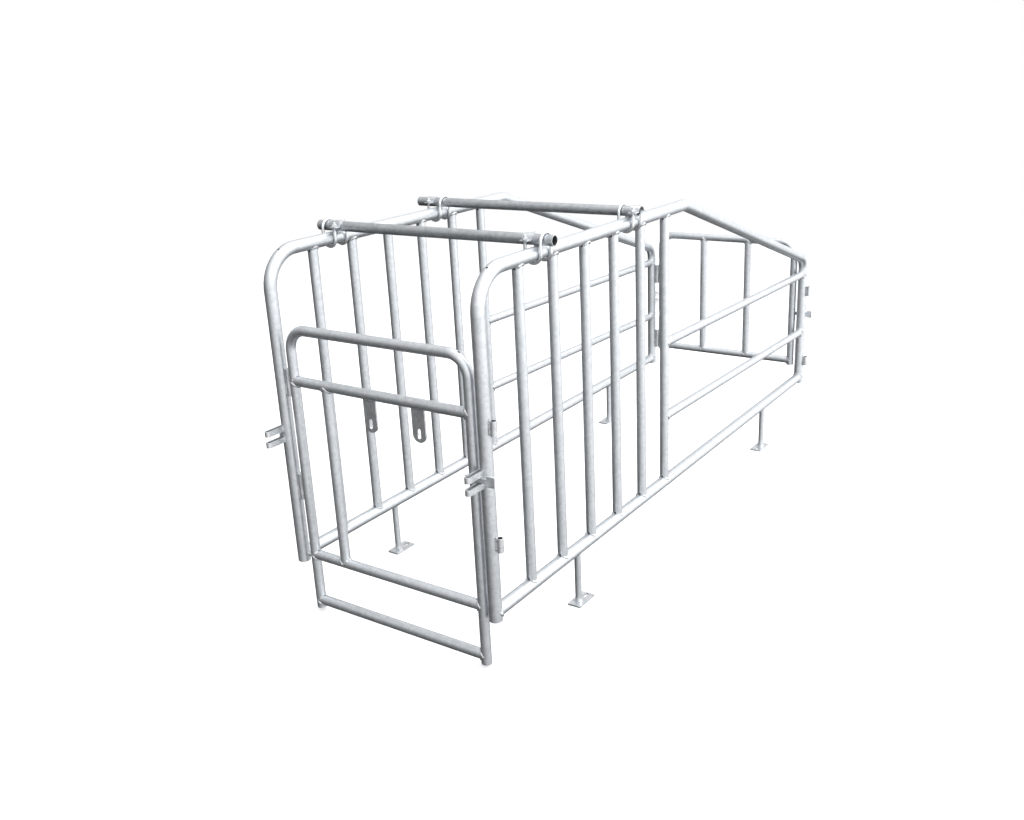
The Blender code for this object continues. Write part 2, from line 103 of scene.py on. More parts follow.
# Weld beads: their sizes, their step along a joint, and their ripples and lumps (share, pitch).
WELD_SIZE, GATE_WELD_SHARE, SMALL_WELD = 0.0030, 0.85, 0.0021
BEAD_STEP, BEAD_SIDES, BEAD_SPREAD, BEAD_LIFT = 0.0009, 12, 1.15, 0.18
RIPPLE_PITCH, RIPPLE_SHARE = 0.0024, 0.16
COARSE_LUMP, FINE_LUMP = (0.45, 160), (0.25, 420)
CREVICE_SEAT = 0.62
BEAD_TIP, BEAD_TAPER = 0.4, 3
SLEEVE_WELD_MARGIN, CATCH_WELD_MARGIN = 0.004, 0.003
LUG_WELD_MARGIN, LATCH_WELD_MARGIN = 0.002, 0.001
CATCH_WELD_STEPS, FOOT_WELD_STEPS, LUG_WELD_STEPS, LATCH_WELD_STEPS = 20, 60, 40, 16
FOOT_WELD_GAP = math.radians(60)
FOOT_WELD_START, FOOT_WELD_SWEEP = 35, 290

# How deep plates and rods run into the tubes they are welded to.
CATCH_SUNK, CATCH_SET_OFF, LEG_SUNK, LEG_BURIED = 0.0015, 0.001, 0.001, 0.004
LUG_SUNK, PACKING_SUNK, PACKING_BURIED, PACKING_INSET = 0.0008, 0.001, 0.0005, 0.0008

# The zinc coat: texture scales, and how strongly each one shows.
WARP_SCALE, CRYSTAL_SCALE, CLOUD_SCALE, SPECK_SCALE, PEEL_SCALE = 45.0, 110.0, 11.0, 230.0, 150.0
WARP_SHARE, SPECK_SHARE, GLOSS_SPREAD = 0.012, 0.35, 0.06
PEEL_STRENGTH, PEEL_DEPTH = 0.13, 0.0006

# Camera and stage.
CAMERA_PLACE = Vector((1.6553, -2.8000, 1.4391))
CAMERA_AIM = Vector((1.0008, -1.8755, 1.0464))
CAMERA_ROLL = -0.0506
CAMERA_LENS = 36.106
BRIGHT_SIDE = (0.9960, 0.0897, 0.0)
FLOOR_COLOUR, FLOOR_GLOW, FLOOR_FADE = (0.86, 0.865, 0.87), 0.35, (2.2, 6.5)
FLOOR_RADIUS, FLOOR_SIDES = 9.0, 96
WORLD_LEAN = [(0.0, 0.04), (0.10, 0.07), (0.25, 0.27), (0.50, 0.74), (0.75, 1.20), (1.0, 1.70)]
WORLD_HEIGHT = [(0.15, 0.06), (0.27, 0.30), (0.37, 1.0), (0.70, 1.0), (1.0, 1.2)]
WORLD_OVERHEAD = [(0.52, 0.0), (0.64, 0.34), (0.85, 0.55)]
# Each softbox: name, place, aim, width and height, watts.
SOFTBOXES = [
    ("top_softbox", (0.6, 0.2, 3.6), (0, 0, 0.4), (3.0, 3.6), 32),
    ("right_softbox", (3.6, 0.6, 2.3), (0, 0, 0.6), (1.6, 3.4), 45),
]


# ---------------------------------------------------------------- places read from the frame


def centre(node):
    """The middle of a CAD node's box."""
    low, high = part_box(node)
    return (low + high) / 2


PANEL_X = {side: centre(f"{side}_panel_bar_1").x for side in SIDES}
POST_Y = {end: centre(f"left_panel_{end}_upper_hinge_sleeve").y for end, outward in ENDS}
BAR_Y = [centre(f"left_panel_bar_{i}").y for i in range(1, 7)]
RAIL_Z = centre("left_panel_bottom_rail").z
TOP_Z = centre("front_cross_tube").z - FRAME_RADIUS - BAR_RADIUS - TOUCH
POST_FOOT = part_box("left_panel_frame")[0].z
HINGE_X = centre("left_panel_front_upper_hinge_sleeve").x
LEFT_LEG = HINGE_X + SLEEVE_RADIUS + BAR_RADIUS + TOUCH
RIGHT_LEG = LEFT_LEG + GATE_SPAN


# ---------------------------------------------------------------- materials


def node_tools(tree):
    """Short calls that add a node, set its inputs and return its first output."""

    def add(kind, settings=None, output=0, **inputs):
        node = tree.nodes.new(kind)
        for key, value in (settings or {}).items():
            setattr(node, key, value)
        for key, value in inputs.items():
            socket = node.inputs[key.replace("_", " ")]
            if hasattr(value, "is_output"):
                tree.links.new(value, socket)
            else:
                socket.default_value = value
        return node.outputs[output]

    return add


def ramp(tree, value, stops):
    """A colour ramp over value; each stop is a place and a grey or a colour."""
    node = tree.nodes.new("ShaderNodeValToRGB")
    elements = node.color_ramp.elements
    while len(elements) < len(stops):
        elements.new(1.0)
    for element, (place, shade) in zip(elements, stops):
        element.position = place
        element.color = (*[shade] * 3, 1) if isinstance(shade, float) else (*shade, 1)
    tree.links.new(value, node.inputs["Fac"])
    return node.outputs["Color"]


def galvanised(name, dark, light, roughness, mottle, metal=0.88):
    """Zinc coat: faint crystal spangle, a cloudy mottle, dull specks and a fine orange peel."""
    material = bpy.data.materials.new(name)
    material.use_nodes = True
    tree = material.node_tree
    add = node_tools(tree)
    shader = tree.nodes["Principled BSDF"]
    place = add("ShaderNodeTexCoord", output=3)
    warp = add("ShaderNodeTexNoise", output=1, Vector=place, Scale=WARP_SCALE, Detail=2.0)
    bent = add("ShaderNodeMix", {"data_type": "VECTOR"}, 1, A=place, B=warp)
    tree.nodes[-1].inputs[0].default_value = WARP_SHARE
    cells = tree.nodes.new("ShaderNodeTexVoronoi")
    tree.links.new(bent, cells.inputs["Vector"])
    cells.inputs["Scale"].default_value = CRYSTAL_SCALE
    crystal = add("ShaderNodeSeparateColor", Color=cells.outputs["Color"])
    cloud = add("ShaderNodeTexNoise", Vector=place, Scale=CLOUD_SCALE, Detail=4.0, Roughness=0.6)
    speck = add("ShaderNodeTexNoise", Vector=place, Scale=SPECK_SCALE, Detail=3.0, Roughness=0.7)
    peel = add("ShaderNodeTexNoise", Vector=place, Scale=PEEL_SCALE, Detail=2.0)

    def blend(first, second, share):
        """first and second mixed, with this share of second."""
        mixed = add("ShaderNodeMath", {"operation": "MULTIPLY_ADD"})
        node = tree.nodes[-1]
        scaled = add("ShaderNodeMath", {"operation": "MULTIPLY"})
        tree.links.new(first, tree.nodes[-1].inputs[0])
        tree.nodes[-1].inputs[1].default_value = 1 - share
        tree.links.new(second, node.inputs[0])
        node.inputs[1].default_value = share
        tree.links.new(scaled, node.inputs[2])
        return mixed

    tone = blend(blend(crystal, cloud, mottle), speck, SPECK_SHARE)
    spread = ramp(tree, tone, [(0.30, dark), (0.70, light)])
    tree.links.new(spread, shader.inputs["Base Color"])
    smooth, rough = roughness - GLOSS_SPREAD / 2, roughness + GLOSS_SPREAD / 2
    gloss = ramp(tree, blend(cloud, speck, 0.5), [(0.32, smooth), (0.68, rough)])
    tree.links.new(gloss, shader.inputs["Roughness"])
    shader.inputs["Metallic"].default_value = metal
    height = blend(peel, speck, 0.3)
    bump = add("ShaderNodeBump", Height=height, Strength=PEEL_STRENGTH, Distance=PEEL_DEPTH)
    tree.links.new(bump, shader.inputs["Normal"])
    return material


# Each coat: name, darkest and lightest colour, roughness and mottle.
TUBE_ZINC = galvanised("galvanised_tube", (0.635, 0.665, 0.695), (0.72, 0.75, 0.78), 0.42, 0.2)
CROSS_ZINC = galvanised(
    "galvanised_cross_tube", (0.45, 0.475, 0.50), (0.54, 0.565, 0.59), 0.42, 0.2)
PLATE_ZINC = galvanised("galvanised_plate", (0.64, 0.665, 0.69), (0.80, 0.82, 0.84), 0.38, 0.2)
WELD_ZINC = galvanised("galvanised_weld", (0.46, 0.475, 0.49), (0.74, 0.755, 0.765), 0.48, 0.4)
BRIGHT_ZINC = galvanised("bright_zinc", (0.74, 0.76, 0.78), (0.87, 0.885, 0.895), 0.34, 0.2)
# Tube bores: near-black and not metallic, a painted shade for the inside of the zinc tubes, which
# is only in shadow.
BORE_PAINTED_SHADE = galvanised(
    "tube_bore_painted_shade", (0.035, 0.038, 0.042), (0.07, 0.075, 0.08), 0.6, 0.3, metal=0.0)


# ---------------------------------------------------------------- mesh building


def arc(middle, radius, start, end, count):
    """2-D points on an arc, angles in degrees."""
    points = []
    for i in range(count + 1):
        angle = math.radians(start + (end - start) * i / count)
        points.append((middle[0] + radius * math.cos(angle), middle[1] + radius * math.sin(angle)))
    return points


def bent_path(corners, radii):
    """Points along straight runs, with each corner rounded to its radius in small steps."""
    points = [corners[0]]
    for before, corner, after, radius in zip(corners, corners[1:], corners[2:], radii):
        towards = (before - corner).normalized()
        onward = (after - corner).normalized()
        turn = math.pi - towards.angle(onward)
        start = corner + towards * radius * math.tan(turn / 2)
        middle = start + (onward - towards * towards.dot(onward)).normalized() * radius
        count = max(4, math.ceil(turn / BEND_STEP))
        for i in range(count + 1):
            angle = turn * i / count
            arm = (start - middle) * math.cos(angle) - towards * radius * math.sin(angle)
            points.append(middle + arm)
    points.append(corners[-1])
    return points


def around(angle):
    """A level unit vector at this angle."""
    return X * math.cos(angle) + Y * math.sin(angle)


def skin(shell, rings, closed=False, flip=False, material=0):
    """Quads between neighbouring rings of vertices."""
    pairs = list(zip(rings, rings[1:]))
    if closed:
        pairs.append((rings[-1], rings[0]))
    for ring, following in pairs:
        count = len(ring)
        for k in range(count):
            j = (k + 1) % count
            face = [ring[k], ring[j], following[j], following[k]]
            shell.faces.new(face[::-1] if flip else face).material_index = material


def cap(shell, rings):
    """Closes both ends of a row of rings."""
    shell.faces.new(rings[0][::-1])
    shell.faces.new(rings[-1])


def sweep(shell, points, radius, bore=0.0, sides=TUBE_SIDES):
    """A rod along the points, or an open tube if it has a bore."""
    tangents = []
    for i, point in enumerate(points):
        behind = (point - points[i - 1]).normalized() if i else Vector()
        ahead = (points[i + 1] - point).normalized() if i < len(points) - 1 else Vector()
        tangents.append((behind + ahead).normalized())
    normal = tangents[0].orthogonal().normalized()
    previous = tangents[0]
    outer, inner = [], []
    for i, (point, tangent) in enumerate(zip(points, tangents)):
        normal = previous.rotation_difference(tangent) @ normal
        previous = tangent
        side = tangent.cross(normal)
        for rings, reach in ((outer, radius), (inner, bore)):
            ring = []
            for k in range(sides if reach else 0):
                angle = 2 * math.pi * k / sides
                arm = (normal * math.cos(angle) + side * math.sin(angle)) * reach
                ring.append(shell.verts.new(point + arm))
            rings.append(ring)
    skin(shell, outer)
    if bore:
        skin(shell, inner, flip=True, material=1)
        skin(shell, [inner[0], outer[0]])
        skin(shell, [outer[-1], inner[-1]])
    else:
        cap(shell, outer)


def header_rise(arm, along, header):
    """How far from a header tube's axis a branch's edge at this arm meets its skin."""
    direction, radius = header
    across = along.cross(direction).normalized()
    return math.sqrt(max(0.0, radius**2 - arm.dot(across) ** 2))


def branch(shell, start, end, radius, wall, headers, vent=None):
    """A tube from one header's axis to another's, its ends coped to fit, with a vent notch."""
    axis = (end - start).normalized()
    reference = vent - axis * vent.dot(axis) if vent else axis.orthogonal()
    reference = reference.normalized()
    side = axis.cross(reference)
    outer, inner = [], []
    for point, inward, header in ((start, axis, headers[0]), (end, -axis, headers[1])):
        for rings, reach in ((outer, radius), (inner, radius - wall)):
            ring = []
            for k in range(TUBE_SIDES):
                angle = 2 * math.pi * k / TUBE_SIDES
                arm = (reference * math.cos(angle) + side * math.sin(angle)) * reach
                rise = header_rise(arm, axis, header) - SUNK if header else 0.0
                if vent and header:
                    swing = min(angle, 2 * math.pi - angle) * radius / (VENT_WIDTH / 2)
                    rise += VENT_HEIGHT * math.sqrt(max(0.0, 1 - swing**2))
                ring.append(shell.verts.new(point + arm + inward * rise))
            rings.append(ring)
    skin(shell, outer)
    skin(shell, inner, flip=True, material=1)
    skin(shell, [inner[0], outer[0]])
    skin(shell, [outer[1], inner[1]])


def bead(shell, points, outward, size, closed=False):
    """A weld bead laid along points, rippled along its run and rounded off at its ends."""
    count = len(points)
    run = 0.0
    rings = []
    for i, (point, up) in enumerate(zip(points, outward)):
        before = points[i - 1] if i or closed else point
        after = points[(i + 1) % count] if i < count - 1 or closed else point
        tangent = (after - before).normalized()
        up = (up - tangent * up.dot(tangent)).normalized()
        side = tangent.cross(up)
        run += (point - points[i - 1]).length if i else 0.0
        ripple = 1 - RIPPLE_SHARE * ((run / RIPPLE_PITCH) % 1.0)
        lump = 1
        for share, pitch in (COARSE_LUMP, FINE_LUMP):
            lump += share * noise.noise(point * pitch)
        reach = size * ripple * lump
        if not closed:
            near_end = min(i, count - 1 - i) + BEAD_TIP
            reach *= math.sqrt(min(1.0, near_end / BEAD_TAPER))
        ring = []
        for k in range(BEAD_SIDES):
            angle = 2 * math.pi * k / BEAD_SIDES
            arm = side * math.cos(angle) * BEAD_SPREAD + up * math.sin(angle)
            ring.append(shell.verts.new(point + up * size * BEAD_LIFT + arm * reach))
        rings.append(ring)
    skin(shell, rings, closed)
    if not closed:
        cap(shell, rings)


def branch_bead(shell, foot, away, radius, header, size, gap=None, gap_angle=0.0):
    """The weld round a branch where it meets a header, left open for gap_angle round gap."""
    reference = gap if gap else away.orthogonal()
    reference = (reference - away * reference.dot(away)).normalized()
    side = away.cross(reference)
    across = away.cross(header[0]).normalized()
    span = 2 * math.pi - gap_angle
    count = max(12, math.ceil(radius * span / BEAD_STEP))
    points, ups = [], []
    for i in range(count if not gap else count + 1):
        angle = gap_angle / 2 + span * i / count
        out = reference * math.cos(angle) + side * math.sin(angle)
        rise = header_rise(out * radius, away, header)
        skin_normal = (away * rise + across * (out * radius).dot(across)).normalized()
        points.append(foot + out * radius + away * rise)
        ups.append((out + skin_normal).normalized())
    bead(shell, points, ups, size, closed=not gap)


def crevice_bead(shell, first, first_radius, second, second_radius, low, high, size):
    """Upright beads in the two crevices between two upright round bars that touch."""
    line = Vector((second.x - first.x, second.y - first.y, 0))
    reach, lift = first_radius + size * CREVICE_SEAT, second_radius + size * CREVICE_SEAT
    along = (reach**2 - lift**2 + line.length**2) / (2 * line.length)
    aside = math.sqrt(max(0.0, reach**2 - along**2))
    across = Z.cross(line.normalized())
    count = max(8, round((high - low) / BEAD_STEP))
    for sign in (-1, 1):
        base = Vector((first.x, first.y, 0)) + line.normalized() * along + across * aside * sign
        points = [base + Z * (low + (high - low) * i / count) for i in range(count + 1)]
        bead(shell, points, [across * sign] * len(points), size)


def finish(name, shell, material, sharp=38):
    """Turns a bmesh into an object with smooth shading between its sharp edges."""
    bmesh.ops.remove_doubles(shell, verts=shell.verts, dist=1e-7)
    bmesh.ops.recalc_face_normals(shell, faces=shell.faces)
    mesh = bpy.data.meshes.new(name)
    shell.to_mesh(mesh)
    shell.free()
    mesh.materials.append(material)
    # Faces with material index 1 are tube bores, which get the near-black painted shade.
    if any(face.material_index for face in mesh.polygons):
        mesh.materials.append(BORE_PAINTED_SHADE)
    mesh.shade_smooth()
    mesh.set_sharp_from_angle(angle=math.radians(sharp))
    piece = bpy.data.objects.new(name, mesh)
    bpy.context.scene.collection.objects.link(piece)
    return piece


def place_piece(piece, body, slot, *nodes):
    """Hands a finished piece to its body and hides the nodes it stands for; its slot argument is
    not used.
    """
    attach(piece, body)
    if nodes:
        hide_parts(*nodes)


def soften(piece, width, segments=2):
    """Rounds a piece's sharp edges."""
    bevel = piece.modifiers.new("worked_edges", "BEVEL")
    bevel.width = width
    bevel.segments = segments
    bevel.limit_method = "ANGLE"
    bevel.angle_limit = EDGE_ANGLE
    bevel.harden_normals = True


def drill(piece, place, direction, radius, depth):
    """A drilled drain hole through one wall; its cutter carries the bore's near-black painted
    shade, to paint the hole's sides dark like the bore behind it.
    """
    shell = bmesh.new()
    sweep(shell, [place - direction * depth, place + direction * depth], radius, sides=ROD_SIDES)
    cutter = finish("drill", shell, BORE_PAINTED_SHADE)
    cut = piece.modifiers.new("drain_hole", "BOOLEAN")
    cut.operation = "DIFFERENCE"
    cut.solver = "EXACT"
    cut.object = cutter
    bpy.context.view_layer.update()
    depsgraph = bpy.context.evaluated_depsgraph_get()
    mesh = bpy.data.meshes.new_from_object(piece.evaluated_get(depsgraph), depsgraph=depsgraph)
    piece.modifiers.clear()
    mesh.name = f"{piece.name}_drilled"
    piece.data = mesh
    bpy.data.objects.remove(cutter, do_unlink=True)


def flat_plate(shell, outline, hole, lift, across, along, up, origin):
    """A flat plate, with a hole if one is given: 2-D loops filled, then thickened along up."""
    edges = []
    for loop in (outline, hole or []):
        ring = [shell.verts.new(origin + across * a + along * b) for a, b in loop]
        for k in range(len(ring)):
            edges.append(shell.edges.new((ring[k], ring[(k + 1) % len(ring)])))
    faces = bmesh.ops.triangle_fill(shell, edges=edges, use_beauty=True)["geom"]
    faces = [item for item in faces if isinstance(item, bmesh.types.BMFace)]
    raised = bmesh.ops.extrude_face_region(shell, geom=faces)["geom"]
    moved = [item for item in raised if isinstance(item, bmesh.types.BMVert)]
    bmesh.ops.translate(shell, verts=moved, vec=up * lift)
    bmesh.ops.dissolve_limit(shell, angle_limit=0.01, verts=shell.verts, edges=shell.edges)


def thicken(piece, thickness):
    """Gives a sheet its thickness, half on each side."""
    solid = piece.modifiers.new("strap", "SOLIDIFY")
    solid.thickness = thickness
    solid.offset = 0
    return solid


def slot_loop(width, length, middle):
    """The outline of a round-ended slot."""
    run = (length - width) / 2
    top = arc((middle[0], middle[1] + run), width / 2, 0, 180, 16)
    bottom = arc((middle[0], middle[1] - run), width / 2, 180, 360, 16)
    return top + bottom


# ---------------------------------------------------------------- side panels


def panel_frame(side):
    """The bent tube that makes a panel's front post, top rail, slope and rear post."""
    x = PANEL_X[side]
    front, rear = POST_Y["front"], POST_Y["rear"]
    shoulder = RAIL_Z + REAR_SHOULDER_RISE
    corners = [Vector((x, front, POST_FOOT)), Vector((x, front, TOP_Z)),
               Vector((x, front + PEAK_DISTANCE, TOP_Z)), Vector((x, rear, shoulder)),
               Vector((x, rear, POST_FOOT))]
    shell = bmesh.new()
    path = bent_path(corners, [FRONT_BEND, PEAK_BEND, REAR_BEND])
    sweep(shell, path, FRAME_RADIUS, FRAME_RADIUS - FRAME_WALL)
    piece = finish(f"{side}_panel_frame_tube", shell, TUBE_ZINC)
    middle = Vector((x, front + FRONT_BEND, TOP_Z - FRONT_BEND))
    slant = Z * math.sin(DRAIN_ANGLE) - Y * math.cos(DRAIN_ANGLE)
    drill(piece, middle + slant * (FRONT_BEND + FRAME_RADIUS), slant, DRAIN_RADIUS, 2 * FRAME_WALL)
    place_piece(piece, "stall_frame", "galvanised_tube", f"{side}_panel_frame")


def side_rail_ends(side, label):
    """The rail's axis: level across at the last bar, lower at the rear post."""
    low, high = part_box(f"{side}_panel_{label}_side_rail")
    fall = (high.z - low.z) - (high.x - low.x)
    middle = (low.z + high.z) / 2
    ends = ((BAR_Y[-1], middle + fall / 2), (POST_Y["rear"], middle - fall / 2))
    return [Vector((PANEL_X[side], y, z)) for y, z in ends]


def panel_tubes(side):
    """A panel's straight tubes, hinge sleeves, catches and feet, with all its welds."""
    x = PANEL_X[side]
    welds = bmesh.new()
    post, frame_tube, bar_tube = (Z, FRAME_RADIUS), (Y, FRAME_RADIUS), (Z, BAR_RADIUS)

    def tube(label, start, end, radius, wall, headers, vent=None):
        """One coped tube and the welds round its two ends."""
        shell = bmesh.new()
        branch(shell, start, end, radius, wall, headers, vent)
        piece = finish(f"{side}_panel_{label}_tube", shell, TUBE_ZINC)
        place_piece(piece, "stall_frame", "galvanised_tube", f"{side}_panel_{label}")
        axis = (end - start).normalized()
        for point, away, header in ((start, axis, headers[0]), (end, -axis, headers[1])):
            gap_angle = VENT_CLEAR * VENT_WIDTH / radius if vent else 0.0
            branch_bead(welds, point, away, radius, header, WELD_SIZE, vent, gap_angle)

    ends = [Vector((x, POST_Y[end], RAIL_Z)) for end, outward in ENDS]
    tube("bottom_rail", *ends, FRAME_RADIUS, FRAME_WALL, (post, post))
    for i, y in enumerate(BAR_Y):
        ends = (Vector((x, y, RAIL_Z)), Vector((x, y, TOP_Z)))
        tube(f"bar_{i + 1}", *ends, BAR_RADIUS, BAR_WALL, (frame_tube, frame_tube), -Y)
    for label in ("upper", "lower"):
        ends = side_rail_ends(side, label)
        tube(f"{label}_side_rail", *ends, BAR_RADIUS, BAR_WALL, (bar_tube, post))

    for end, outward in ENDS:
        post_place = Vector((x, POST_Y[end], 0))
        for level in ("upper", "lower"):
            node = f"{side}_panel_{end}_{level}_hinge_sleeve"
            low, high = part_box(node)
            middle = (low + high) / 2
            shell = bmesh.new()
            line = [Vector((middle.x, middle.y, z)) for z in (low.z, high.z)]
            sweep(shell, line, SLEEVE_RADIUS, SLEEVE_BORE)
            piece = finish(f"{node}_tube", shell, PLATE_ZINC)
            soften(piece, THIN_EDGE)
            place_piece(piece, "stall_frame", "galvanised_tube", node)
            crevice_bead(welds, post_place, FRAME_RADIUS, middle, SLEEVE_RADIUS,
                         low.z + SLEEVE_WELD_MARGIN, high.z - SLEEVE_WELD_MARGIN, SMALL_WELD)
        catch(side, end, outward, welds)
        foot(side, end, outward, welds)
    piece = finish(f"{side}_panel_welds", welds, WELD_ZINC, 60)
    place_piece(piece, "stall_frame", "galvanised_tube")


def catch(side, end, outward, welds):
    """A strap bent to a hairpin, with a window across its nose that makes the fork."""
    node = f"{side}_panel_{end}_catch"
    middle = centre(node)
    post = Vector((PANEL_X[side], POST_Y[end], middle.z))
    bend = (CATCH_GAP + CATCH_STRAP) / 2
    nose = CATCH_REACH - CATCH_STRAP / 2 - bend
    arc_run = math.pi * bend
    half_notch, half_height = CATCH_NOTCH / 2, CATCH_HEIGHT / 2

    def place(run):
        """Where a run along the strap lies: up one leg, round the nose and back."""
        if run < nose:
            return bend, run
        if run < nose + arc_run:
            angle = (run - nose) / bend
            return bend * math.cos(angle), nose + bend * math.sin(angle)
        return -bend, 2 * nose + arc_run - run

    def opening(run):
        """Half the notch's height at this run, rounded where it ends near the post."""
        depth = min(run, 2 * nose + arc_run - run) - NOTCH_ROOT
        if depth <= 0:
            return 0.0
        return half_notch * math.sqrt(1 - (1 - min(1.0, depth / NOTCH_CORNER)) ** 2)

    total = 2 * nose + arc_run
    on_post = math.sqrt(FRAME_RADIUS**2 - (middle.x + bend - post.x) ** 2)
    runs = [min(on_post, NOTCH_ROOT) - CATCH_SUNK]
    runs += [NOTCH_ROOT + NOTCH_CORNER * (1 - math.cos(math.pi / 2 * i / 8)) for i in range(9)]
    runs += [nose + arc_run * i / 14 for i in range(15)]
    runs += [total - run for run in reversed(runs[1:10])] + [total]
    shell = bmesh.new()
    for sign in (-1, 1):
        columns = []
        for run in runs:
            a, b = place(run)
            column = []
            for share in (0.0, 0.5, 1.0):
                level = opening(run) + (half_height - opening(run)) * share
                y = post.y + outward * (CATCH_SET_OFF + b)
                spot = Vector((middle.x + a, y, middle.z + sign * level))
                column.append(shell.verts.new(spot))
            columns.append(column)
        for column, following in zip(columns, columns[1:]):
            for k in range(2):
                shell.faces.new([column[k], column[k + 1], following[k + 1], following[k]])
    bmesh.ops.remove_doubles(shell, verts=shell.verts, dist=1e-5)
    piece = finish(f"{node}_strap", shell, PLATE_ZINC)
    thicken(piece, CATCH_STRAP).use_even_offset = True
    soften(piece, PLATE_EDGE)
    place_piece(piece, "stall_frame", "galvanised_tube", node)

    for sign in (-1, 1):
        near, far = half_notch + CATCH_WELD_MARGIN, half_height - CATCH_WELD_MARGIN
        steps = CATCH_WELD_STEPS
        levels = [middle.z + sign * (near + (far - near) * i / steps) for i in range(steps + 1)]
        for offset in (bend - CATCH_STRAP / 2, bend + CATCH_STRAP / 2):
            across = middle.x + offset - post.x
            reach = math.sqrt(max(0.0, FRAME_RADIUS**2 - across**2))
            points = [Vector((post.x + across, post.y + outward * reach, z)) for z in levels]
            up = Vector((math.copysign(1, offset - bend), outward, 0)).normalized()
            bead(welds, points, [up] * len(points), SMALL_WELD)


def foot(side, end, outward, welds):
    """A slotted base plate, and the round leg that stands on it under the bottom rail."""
    node = f"{side}_panel_{end}_foot"
    low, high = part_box(node)
    width, length, thickness = FOOT_PLATE
    middle = (low + high) / 2
    leg_y = middle.y + outward * FOOT_LEG_OFFSET
    base = Vector((middle.x, middle.y, 0))
    outline = []
    for a, b, turn in ((1, 1, 0), (-1, 1, 90), (-1, -1, 180), (1, -1, 270)):
        spot = (a * (width / 2 - FOOT_CORNER), b * (length / 2 - FOOT_CORNER))
        outline += arc(spot, FOOT_CORNER, turn, turn + 90, 4)
    slot_middle = (0.0, leg_y - outward * FOOT_SLOT_OFFSET - middle.y)
    shell = bmesh.new()
    flat_plate(shell, outline, slot_loop(*FOOT_SLOT, slot_middle), thickness, X, Y, Z, base)
    plate = finish(f"{node}_plate", shell, PLATE_ZINC)
    soften(plate, PLATE_EDGE)
    place_piece(plate, "stall_frame", "galvanised_tube", node)
    shell = bmesh.new()
    leg = Vector((middle.x, leg_y, thickness))
    top = Vector((middle.x, leg_y, RAIL_Z - FRAME_RADIUS + LEG_BURIED))
    sweep(shell, [leg - Z * LEG_SUNK, top], FOOT_ROD_RADIUS, sides=PIN_SIDES)
    rod = finish(f"{node}_leg", shell, TUBE_ZINC)
    place_piece(rod, "stall_frame", "galvanised_tube", node)
    branch_bead(welds, Vector((middle.x, leg_y, RAIL_Z)), -Z, FOOT_ROD_RADIUS, (Y, FRAME_RADIUS),
                SMALL_WELD, outward * Y, FOOT_WELD_GAP)
    points, ups = [], []
    for i in range(FOOT_WELD_STEPS + 1):
        turn = -90 * outward + FOOT_WELD_START + FOOT_WELD_SWEEP * i / FOOT_WELD_STEPS
        out = around(math.radians(turn) + math.pi)
        points.append(leg + out * FOOT_ROD_RADIUS)
        ups.append((out + Z).normalized())
    bead(welds, points, ups, WELD_SIZE)


# ---------------------------------------------------------------- cross tubes and clamps


def hex_radius(angle, flats):
    """How far a hexagon's edge is from its middle at this angle."""
    turn = (angle + math.pi / 6) % (math.pi / 3) - math.pi / 6
    return flats / 2 / math.cos(turn)


def nut(shell, base):
    """A hexagon nut with chamfered corners, its bore closed by the thread inside it."""
    corner = NUT_FLATS / 2 / math.cos(math.pi / 6)
    face = corner - NUT_CHAMFER * CHAMFER_SLOPE
    levels = [(0.0, face), (NUT_CHAMFER, corner), (NUT_HEIGHT - NUT_CHAMFER, corner),
              (NUT_HEIGHT, face)]
    rings = []
    for level, limit in levels:
        ring = []
        for k in range(NUT_SIDES):
            angle = 2 * math.pi * k / NUT_SIDES
            reach = min(hex_radius(angle, NUT_FLATS), limit)
            ring.append(shell.verts.new(base + Z * level + around(angle) * reach))
        rings.append(ring)
    skin(shell, rings)
    cap(shell, rings)


def thread(shell, base, length, radius):
    """A threaded stud: its radius follows the helix, and its tip is chamfered."""
    steps = math.ceil(length / THREAD_PITCH * THREAD_STEPS)
    depth = THREAD_DEPTH * THREAD_PITCH
    points = [base + Z * (length * i / steps) for i in range(steps + 1)]
    rings = []
    for i, point in enumerate(points):
        ring = []
        for k in range(ROD_SIDES):
            angle = 2 * math.pi * k / ROD_SIDES
            phase = (length * i / steps / THREAD_PITCH - angle / (2 * math.pi)) % 1.0
            reach = radius - depth * (1 - abs(2 * phase - 1))
            left = length * (1 - i / steps)
            reach = min(reach, radius - depth + left)
            ring.append(shell.verts.new(point + around(angle) * reach))
        rings.append(ring)
    skin(shell, rings)
    cap(shell, rings)


